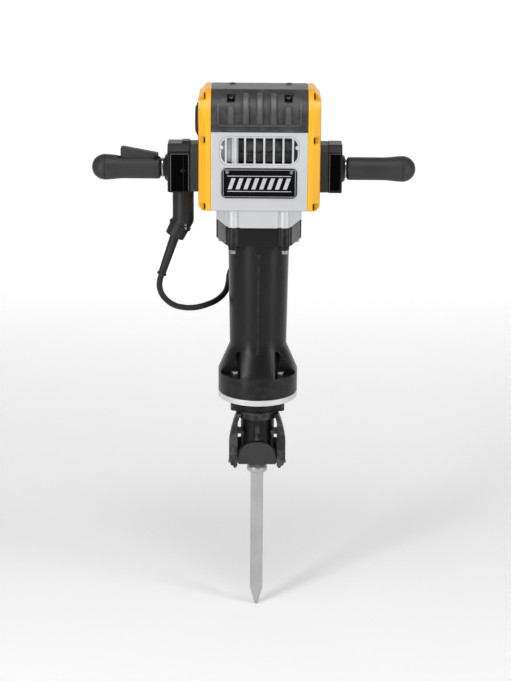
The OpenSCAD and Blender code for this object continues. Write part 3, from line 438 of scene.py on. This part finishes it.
chisel_steel = drawn_steel("chisel_steel", (0.50, 0.50, 0.51), (0.36, 0.36, 0.37), 0.5)
core_sheets = banded("core_sheets", (0.16, 0.15, 0.15), (0.07, 0.07, 0.07), 320, 0.08, 0.8)
coil_copper = banded("coil_copper", (0.55, 0.22, 0.08), (0.24, 0.08, 0.03), 250, 0.25, 0.7)
print(len(bpy.data.materials), "finishes in all")

# %% [markdown]
# ## Rounding the CAD solids
#
# A real casting or moulding has no knife edges: each edge is rounded by a millimetre or so, and
# that thin round is what catches the light and shows the shape. CAD's solids come as loose
# triangles, so a copy is made, its triangles are joined, each flat face is made whole again, and
# only then are the sharp edges bevelled. A Bevel modifier would do the same, but it can't join
# loose triangles first. Four pieces have flat faces with large holes, and a whole face can't go
# round a hole, so those faces stay cut. The rounded copy stands for its CAD node.

# %% From a bmesh to a finished piece
CREASE = math.radians(40)


def finished(bm, name, body, finish, stands_for=()):
    mesh = bpy.data.meshes.new(name)
    bm.to_mesh(mesh)
    bm.free()
    mesh.materials.append(finish)
    mesh.shade_smooth()
    mesh.set_sharp_from_angle(angle=CREASE)
    piece = bpy.data.objects.new(name, mesh)
    bpy.context.scene.collection.objects.link(piece)
    even = piece.modifiers.new("Even shading", "WEIGHTED_NORMAL")
    even.keep_sharp = True
    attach(piece, body)
    if stands_for:
        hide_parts(*stands_for)
    return piece


# %% A rounded copy of a CAD solid
PIERCED = ("barrel", "left_side_cover", "right_side_cover", "switch_box")
SAME_PLACE = 2e-6
SHARP = math.radians(30)


def joined(node):
    """The CAD solid as one closed mesh. Faces with large holes stay cut in triangles."""
    bm = bmesh.new()
    bm.from_mesh(nodes[node].data)
    bmesh.ops.remove_doubles(bm, verts=bm.verts, dist=SAME_PLACE)
    if node not in PIERCED:
        bmesh.ops.dissolve_limit(bm, angle_limit=math.radians(1), verts=bm.verts, edges=bm.edges)
    return bm


def round_over(bm, edges, width, segments=2):
    bmesh.ops.bevel(bm, geom=edges, offset=width * MM, offset_type="OFFSET", affect="EDGES",
                    segments=segments, profile=0.5, material=-1, clamp_overlap=False, loop_slide=False)


def rim(bm, width):
    """Rounds every edge that is still sharp."""
    round_over(bm, [e for e in bm.edges if e.calc_face_angle(0) > SHARP], width)


def rounded(node, width, finish):
    bm = joined(node)
    rim(bm, width)
    count = len(bm.faces)
    finished(bm, f"{node}_body", nodes[node]["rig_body"], finish, stands_for=(node,))
    return count


ROUNDED = [
    ("cast_case", 1.6, cast_silver), ("top_cover", 1.2, cover_dark), ("rear_cover", 1.0, cover_dark),
    ("left_side_cover", 1.5, cover_yellow), ("right_side_cover", 1.5, cover_yellow),
    ("motor_cap", 0.8, cap_dark), ("window_grille", 0.7, ring_bright), ("name_plate", 0.5, plate_black),
    ("barrel", 1.5, barrel_black), ("collar_bolts", 0.5, bolt_zinc), ("flange_bolts", 0.6, bolt_zinc),
    ("bright_ring", 1.2, ring_bright), ("tool_holder", 1.4, holder_grey), ("retainer_flap", 1.6, flap_rubber),
    ("retainer_pins", 0.5, steel_dark), ("chisel", 0.6, chisel_steel), ("mounting_plates", 1.2, spacer_grey),
    ("switch_box", 1.6, box_black), ("switch_box_lid", 0.8, lid_black), ("plain_box", 1.6, box_black),
    ("pivot_pins", 0.5, screw_black), ("strain_relief", 0.6, elbow_rubber), ("trigger_pin", 0.4, screw_black),
    ("left_grip", 0.8, grip_rubber), ("right_grip", 0.8, grip_rubber),
    ("trigger", 1.6, grip_rubber), ("cord_elbow", 1.2, elbow_rubber), ("mains_plug", 1.5, elbow_rubber),
    ("cover_screws", 0.4, screw_black), ("name_plate_rivets", 0.3, bolt_zinc),
]
for node, width, finish in ROUNDED:
    print(f"{node}: {rounded(node, width, finish)} faces, edges rounded {width} mm")

# %% [markdown]
# The pieces deep inside are seen only through the window, the vents and the open notches. They
# keep their CAD shapes, and each gets the material it is really made of.

# %% Finishes of the inner pieces
INNER = {
    "air_cylinder": steel_dark, "cylinder_seals": elbow_rubber, "anvil_guide": steel_dark,
    "tool_bush": bronze_turned, "stator": core_sheets, "field_coils": coil_copper,
    "motor_bracket": box_black, "brush_holders": bronze_turned, "carbon_brushes": brush_carbon,
    "armature_shaft": steel_ground, "armature_core": core_sheets, "commutator": coil_copper,
    "cooling_fan": box_black, "motor_bearings": steel_ground, "countershaft": steel_ground,
    "fast_wheel": steel_ground, "gear_bearings": steel_ground, "crankshaft": steel_ground,
    "crank_gear": steel_ground, "connecting_rod": steel_dark, "piston": steel_ground,
    "striker": steel_ground, "impact_bolt": steel_ground, "handle_bolts": bolt_zinc,
    "left_grip_bar": steel_dark, "right_grip_bar": steel_dark, "switch": box_black,
    "switch_rod": bolt_zinc, "cord_run": cord_rubber, "cord_hank": cord_rubber,
}
for node, finish in INNER.items():
    nodes[node].data.materials.clear()
    nodes[node].data.materials.append(finish)
print(len(INNER), "inner pieces finished")

# %% [markdown]
# ## Pressed shapes of the top cover
#
# The dark cover is one moulding with ribs pressed into its curved front: a wide panel outline,
# three tall arches between the two screws and a short one under each. Drawing them on the curve
# itself is awkward, so each rib starts as a flat bar with an arched top. Its face is inset and
# sunk, which leaves a thin rim; the bar is then cut across every few millimetres and laid over
# the curve.

# %% Blocks and bars with rounded edges
def block(low, high):
    """A box between two corners, in millimetres."""
    bm = bmesh.new()
    bmesh.ops.create_cube(bm, size=1)
    low, high = mm(*low), mm(*high)
    bmesh.ops.scale(bm, vec=high - low, verts=bm.verts)
    bmesh.ops.translate(bm, vec=(low + high) / 2, verts=bm.verts)
    return bm


def edges_along(bm, axis, keep=lambda middle: True):
    """The edges parallel to an axis (0, 1 or 2) whose middle passes a test, in millimetres."""
    found = []
    for edge in bm.edges:
        way = edge.verts[1].co - edge.verts[0].co
        middle = (edge.verts[0].co + edge.verts[1].co) / 2 / MM
        if abs(way[axis]) > 0.999 * way.length and keep(middle):
            found.append(edge)
    return found


def put(bm, into):
    """Adds one bmesh to another and frees it."""
    carrier = bpy.data.meshes.new("carrier")
    bm.to_mesh(carrier)
    bm.free()
    into.from_mesh(carrier)
    bpy.data.meshes.remove(carrier)


# %% Laying a flat bar over the cover's curve
COVER_FOOT, CURVE_START, CURVE_RADIUS = 93, 102, 80
CURVE_Y = -12
SUNK = -3


def over_cover(point):
    """Takes (x, height above the skin, way up the skin) to its place on the cover."""
    x, height, way = point / MM
    straight = CURVE_START - COVER_FOOT
    turn = max(way - straight, 0) / CURVE_RADIUS
    out = CURVE_RADIUS + height
    rise = COVER_FOOT + min(way, straight)
    return mm(x, CURVE_Y - out * math.cos(turn), rise + out * math.sin(turn))


def lay(bm):
    """Cuts a flat bar across every four millimetres and lays it over the cover."""
    for cut in range(4, 110, 4):
        everything = bm.verts[:] + bm.edges[:] + bm.faces[:]
        bmesh.ops.bisect_plane(bm, geom=everything, plane_co=(0, 0, cut * MM), plane_no=(0, 0, 1))
    for vert in bm.verts:
        vert.co = over_cover(vert.co)
    bmesh.ops.recalc_face_normals(bm, faces=bm.faces)
    return bm


def arch(x, head, height):
    """A rib with a round top, centred on x and ending `head` millimetres up the cover."""
    half, foot, rim_width, floor_height = 7, 17, 2, 0.8
    bm = block((x - half, SUNK, foot), (x + half, height, head))
    round_over(bm, edges_along(bm, 1, lambda m: m.z > (foot + head) / 2), half * 0.96, 8)
    top = max(bm.faces, key=lambda f: f.calc_center_median().y)
    bmesh.ops.inset_region(bm, faces=[top], thickness=rim_width * MM, use_even_offset=True)
    bmesh.ops.translate(bm, vec=(0, -(height - floor_height) * MM, 0), verts=top.verts)
    round_over(bm, [e for e in bm.edges if min(v.co.y for v in e.verts) > (height - 0.1) * MM], 0.5)
    return lay(bm)


# %% Arches and the panel outline
POCKETS_X = (-60, 60)
OUTLINE_HEIGHT = 2.4
ribs = bmesh.new()
for x in (-29, 0, 29):
    put(arch(x, head=86, height=4.2), ribs)
for x in POCKETS_X:
    put(arch(x, head=56, height=3.6), ribs)
put(lay(block((-84, SUNK, 13), (84, OUTLINE_HEIGHT, 16))), ribs)
for x in (-86, 86):
    put(lay(block((x - 1.5, SUNK, 15), (x + 1.5, OUTLINE_HEIGHT, 60))), ribs)
# Painted highlight: the ribs take a lighter finish than the cover they are pressed into.
ribs_piece = finished(ribs, "cover_ribs", "housing", rib_painted_highlight)
print("cover ribs:", len(ribs_piece.data.polygons), "faces")

# %% [markdown]
# Two screws hold the cover down, each in a square pocket deep enough for a driver. The pocket is
# a box without a front, given a wall by solidify. The screw is a turned head with a sunk socket:
# a disc, its top face inset and pushed in.

# %% Screws with a sunk socket
def turned_to(bm, aim, place):
    """Turns what was made along +Z to look along aim, then moves it to its place."""
    bmesh.ops.rotate(bm, matrix=Vector(aim).to_track_quat("Z", "Y").to_matrix(), verts=bm.verts)
    bmesh.ops.translate(bm, vec=mm(*place), verts=bm.verts)
    return bm


def socket_screw(place, aim, radius, height):
    """A pan head at a place, its top looking along aim."""
    bm = bmesh.new()
    bmesh.ops.create_cone(bm, cap_ends=True, segments=20, radius1=radius * MM,
                          radius2=radius * MM * 0.86, depth=height * MM)
    top = max(bm.faces, key=lambda f: f.calc_center_median().z)
    bmesh.ops.inset_region(bm, faces=[top], thickness=radius * 0.42 * MM, use_even_offset=True)
    pushed = bmesh.ops.extrude_discrete_faces(bm, faces=[top])["faces"]
    sunk = [v for f in pushed for v in f.verts]
    bmesh.ops.translate(bm, vec=(0, 0, -height * 0.55 * MM), verts=sunk)
    return turned_to(bm, aim, place)


# %% Pockets of the top cover and their screws
cups, cup_screws = bmesh.new(), bmesh.new()
for x in POCKETS_X:
    cup = block((x - 7.6, -66, 153.4), (x + 7.6, -42, 168.6))
    front = min(cup.faces, key=lambda f: f.calc_center_median().y)
    bmesh.ops.delete(cup, geom=[front], context="FACES")
    bmesh.ops.solidify(cup, geom=cup.faces[:], thickness=1.2 * MM)
    bmesh.ops.recalc_face_normals(cup, faces=cup.faces)
    put(cup, cups)
    put(socket_screw((x, -46, 160), (0, -1, 0.1), 5.2, 6), cup_screws)
finished(cups, "cover_pockets", "housing", box_black)
finished(cup_screws, "cover_pocket_screws", "housing", bolt_zinc)
print("two pockets with screws")

# %% [markdown]
# Small things finish the head: two low domes on its top, each a squashed sphere, a round boss at
# each end of the window, and four screws at the back.

# %% Domes, window bosses and back screws
domes = bmesh.new()
for x in (-58, 62):
    dome = bmesh.new()
    bmesh.ops.create_uvsphere(dome, u_segments=24, v_segments=12, radius=1)
    bmesh.ops.scale(dome, vec=mm(8, 12, 3.5), verts=dome.verts)
    bmesh.ops.translate(dome, vec=mm(x, 26, 175.5), verts=dome.verts)
    put(dome, domes)
finished(domes, "cover_domes", "housing", cover_dark)

bosses, back_screws = bmesh.new(), bmesh.new()
for side in (-1, 1):
    boss = bmesh.new()
    bmesh.ops.create_cone(boss, cap_ends=True, segments=24, radius1=4 * MM, radius2=4 * MM, depth=5 * MM)
    rim(boss, 0.8)
    bmesh.ops.rotate(boss, matrix=Matrix.Rotation(math.pi / 2, 3, "X"), verts=boss.verts)
    bmesh.ops.translate(boss, vec=mm(side * 79, -89, 61), verts=boss.verts)
    put(boss, bosses)
    for y, z in ((123.2, -60), (121.5, 110)):
        put(socket_screw((side * 88, y, z), (0, 1, 0), 5, 3.4), back_screws)
finished(bosses, "window_bosses", "housing", ring_bright)
finished(back_screws, "back_screws", "housing", screw_black)
print("domes, window bosses and four back screws")

# %% [markdown]
# Behind the window stand the wall of the gear case, silver like the rest, and a black air guide
# with two ledges that sends the fan's air over the motor. A black sheet inside the rear cover is
# painted shade: it stands for the dark inside of the housing and stops light from behind. Flat
# blocks with rounded edges are all they need.

# %% Air guide, gear case wall and shade sheet
guide = bmesh.new()
for front, back_y, low, high in ((-66, -63, 26, 104), (-74, -64, 44, 47), (-72, -64, 70, 72)):
    bar = block((-52, front, low), (94, back_y, high))
    rim(bar, 0.8)
    put(bar, guide)
finished(guide, "air_guide", "housing", cover_dark)
wall = block((-94, -74, 26), (-53, -66, 104))
rim(wall, 3)
finished(wall, "gear_case_wall", "housing", cast_silver)
# Painted shade: a black sheet inside the rear cover stands for the dark inside of the housing and stops light
# from behind.
mat = block((-92, 114, -64), (92, 117, 148))
rim(mat, 0.8)
finished(mat, "inner_shade_sheet", "housing", shade_sheet_black)
print("air guide, gear case wall and dust mat")

# %% [markdown]
# ## Name plate
#
# The black plate carries a plain pattern of its own: a thin frame and a row of slanted bars
# between two lines. The bars are blocks sheared sideways. They stand half a millimetre proud,
# as an embossed plate's do.

# %% Frame and bars of the plate
PLATE_FACE = -94.2
BARS, BAR_PITCH, BAR_SLANT, BAR_MIDDLE = 8, 16.5, 0.35, -15


def on_plate(low, high, proud):
    """A block on the plate between two corners (x, z)."""
    return block((low[0], PLATE_FACE - proud, low[1]), (high[0], PLATE_FACE + 0.4, high[1]))


mark = bmesh.new()
for z in (1.5, -31):
    put(on_plate((-67, z - 0.7), (67, z + 0.7), 0.5), mark)
for number in range(BARS):
    bar = on_plate((-4.2, -26.5), (4.2, -3), 0.5)
    rim(bar, 0.4)
    for vert in bar.verts:
        slant = (vert.co.z - BAR_MIDDLE * MM) * BAR_SLANT
        vert.co.x += slant + (number - (BARS - 1) / 2) * BAR_PITCH * MM
    put(bar, mark)
for z in (14.2, -43):
    put(on_plate((-75, z), (75, z + 0.8), 0.3), mark)
for x in (-75.8, 75):
    put(on_plate((x, -42.2), (x + 0.8, 14.2), 0.3), mark)
print("plate pattern:", len(mark.faces), "faces")
finished(mark, "plate_pattern", "housing", mark_silver)

# %% [markdown]
# ## Grip boxes, elbow and cord tie
#
# Each box shows a glossy lid, a steel band where the grip's neck begins, and, on the switch
# side, a rubber elbow held by a clamp with two screws. The bands and the clamp are rings: a
# small square turned once round its axis by spin.

# %% Rings
def ring_band(centre, axis, radius, wide, thick):
    """A band round an axis: its section is spun once and closed."""
    bm = bmesh.new()
    bmesh.ops.create_grid(bm, x_segments=1, y_segments=1, size=0.5)
    bmesh.ops.scale(bm, vec=mm(thick, wide, 1), verts=bm.verts)
    bmesh.ops.rotate(bm, matrix=Matrix.Rotation(math.pi / 2, 3, "X"), verts=bm.verts)
    bmesh.ops.translate(bm, vec=mm(radius, 0, 0), verts=bm.verts)
    section = bm.verts[:] + bm.edges[:] + bm.faces[:]
    bmesh.ops.spin(bm, geom=section, axis=(0, 0, 1), cent=(0, 0, 0), angle=math.tau, steps=48,
                   use_merge=True)
    bmesh.ops.remove_doubles(bm, verts=bm.verts, dist=1e-6)
    inner = [f for f in bm.faces if all(abs(v.co.y) < 1e-7 and v.co.x > 0 for v in f.verts)]
    bmesh.ops.delete(bm, geom=inner, context="FACES_ONLY")
    bmesh.ops.recalc_face_normals(bm, faces=bm.faces)
    rim(bm, 0.4)
    return turned_to(bm, axis, centre)


for side, x in (("left", -206.5), ("right", 183.6)):
    band = ring_band((x, 0, 0), (1, 0, 0), 20.3, 2.6, 1.2)
    finished(band, f"{side}_neck_band", f"{side}_handle", bolt_zinc)
clamp = ring_band((-170, 0, -126), (-19, 0, -38), 23.6, 5, 2.4)
finished(clamp, "elbow_clamp", "housing", elbow_rubber)
clamp_screws = bmesh.new()
for z in (-121.5, -128.5):
    put(socket_screw((-157.5, -19.5, z), (0.45, -1, 0), 2.6, 3), clamp_screws)
finished(clamp_screws, "elbow_clamp_screws", "housing", bolt_zinc)
slots = bmesh.new()
for z in (-53, -58):
    put(block((-182.5, -12.5, z - 1.2), (-177, -8, z + 1.2)), slots)
finished(slots, "elbow_slots", "housing", screw_black)
print("bands, clamp and its screws")

# %% [markdown]
# The lid has a fine seam, the plain box has a glossy panel with rounded corners, and grey strips
# along the lid's and the box's edges are a painted highlight. They are thin bars and one rounded
# block, a few tenths proud.

# %% Lid seam, painted highlights and the plain box's panel
seam = block((-161.4, -38.5, -44), (-160.6, -37.8, 37))
finished(seam, "lid_seam", "housing", box_black)
# Painted highlight: grey strips along the edges of the lid and the plain box.
PAINTED_HIGHLIGHT_EDGES = [
    (-188.2, -149.4, 35.6, 36.8), (-188.4, -187.2, -43, 36.8), (-150.4, -149.4, -43, 36.8),
    (149, 173, 37.6, 38.6), (148.6, 149.6, -42, 38.6),
]
highlight_strips = bmesh.new()
for x, far_x, z, far_z in PAINTED_HIGHLIGHT_EDGES:
    put(block((x, -38.6, z), (far_x, -37.8, far_z)), highlight_strips)
finished(highlight_strips, "lid_painted_highlights", "housing", highlight_grey)
panel = block((150.5, -38.9, -40), (171.5, -37.5, 38))
round_over(panel, edges_along(panel, 1), 3, 4)
rim(panel, 0.5)
finished(panel, "plain_box_panel", "housing", lid_black)
print("lid seam, light edges and panel")

# %% [markdown]
# A nylon strap holds each side of the hank together. It is a box round the cord with its corners
# rounded and both ends taken away, and solidify gives it its thickness.

# %% Ties round the hank
def tie(low, high):
    """A flat strap round a bundle between two corners."""
    bm = block(low, high)
    round_over(bm, edges_along(bm, 2), 7, 6)
    ends = [f for f in bm.faces if abs(f.normal.z) > 0.9]
    bmesh.ops.delete(bm, geom=ends, context="FACES_ONLY")
    bmesh.ops.recalc_face_normals(bm, faces=bm.faces)
    bmesh.ops.solidify(bm, geom=bm.faces[:], thickness=1.3 * MM)
    bmesh.ops.recalc_face_normals(bm, faces=bm.faces)
    return bm


straps = bmesh.new()
for side in (-1, 1):
    inner, outer = sorted((side * 31.6, side * 59.4))
    put(tie((inner, 65.6, -322), (outer, 119.6, -304)), straps)
finished(straps, "cord_ties", "housing", strap_nylon)
print("two ties hold the hank")

# %% [markdown]
# ## Stage
#
# A sheet of pale paper runs under the chisel and curves up far behind: a flat grid, its far edge
# extruded upwards and the fold bevelled round. It glows a little, more towards the back, so that
# it stays white while the lamps stay low. Two tall soft boxes at the sides light the hammer, a
# large one overhead lights the tops, and the pale world fills the shadows. One hard lamp would be
# simpler, but black plastic only shows its shape in wide, soft reflections.

# %% Paper sweep
FLOOR_Z = -1.0182
paper = bmesh.new()
bmesh.ops.create_grid(paper, x_segments=1, y_segments=1, size=6)
far_edge = max(paper.edges, key=lambda e: e.verts[0].co.y + e.verts[1].co.y)
raised = bmesh.ops.extrude_edge_only(paper, edges=[far_edge])["geom"]
top_corners = [v for v in raised if isinstance(v, bmesh.types.BMVert)]
bmesh.ops.translate(paper, vec=(0, 0, 6), verts=top_corners)
fold = [e for e in paper.edges if len(e.link_faces) == 2]
bmesh.ops.bevel(paper, geom=fold, offset=2.5, offset_type="OFFSET", affect="EDGES", segments=16,
                profile=0.5, material=-1)
for face in paper.faces:
    face.smooth = True
bmesh.ops.translate(paper, vec=(0, 0, FLOOR_Z), verts=paper.verts)
floor_mesh = bpy.data.meshes.new("floor")
paper.to_mesh(floor_mesh)
paper.free()
floor = bpy.data.objects.new("floor", floor_mesh)
bpy.context.scene.collection.objects.link(floor)
floor_board = Board("floor_paper")
depth = floor_board.node("ShaderNodeSeparateXYZ", inputs={"Vector": floor_board.place}, out="Y")
glow = floor_board.ramp(depth * 0.2, (0.1, 0.22), (0.6, 1.0))
floor_mesh.materials.append(floor_board.shine(
    base_color=floor_board.mix((0.88, 0.88, 0.88, 1), (0.90, 0.90, 0.90, 1), floor_board.noise(3)),
    roughness=0.9, specular_ior_level=0.1, emission_color=glow, emission_strength=0.55,
))

# %% Soft boxes and world
def soft_box(name, place, aim, width, height, watts):
    light = bpy.data.lights.new(name, "AREA")
    light.shape, light.size, light.size_y, light.energy = "RECTANGLE", width, height, watts
    lamp = bpy.data.objects.new(name, light)
    bpy.context.scene.collection.objects.link(lamp)
    lamp.location = place
    lamp.rotation_euler = (Vector(aim) - Vector(place)).to_track_quat("-Z", "Y").to_euler()


MIDDLE = (0, 0, -0.35)
soft_box("left_box_light", (-1.9, -2.3, 0.4), MIDDLE, 0.7, 2.4, 52)
soft_box("right_box_light", (2.5, -1.6, 0.3), MIDDLE, 0.8, 2.4, 36)
soft_box("top_light", (0, -1.2, 2.6), (0, 0, 0), 2.0, 1.2, 40)
world = bpy.data.worlds.new("pale_room")
bpy.context.scene.world = world
world.use_nodes = True
sky = world.node_tree.nodes["Background"].inputs
sky["Color"].default_value = (1, 1, 1, 1)
sky["Strength"].default_value = 0.24
bpy.context.scene.view_settings.view_transform = "Standard"
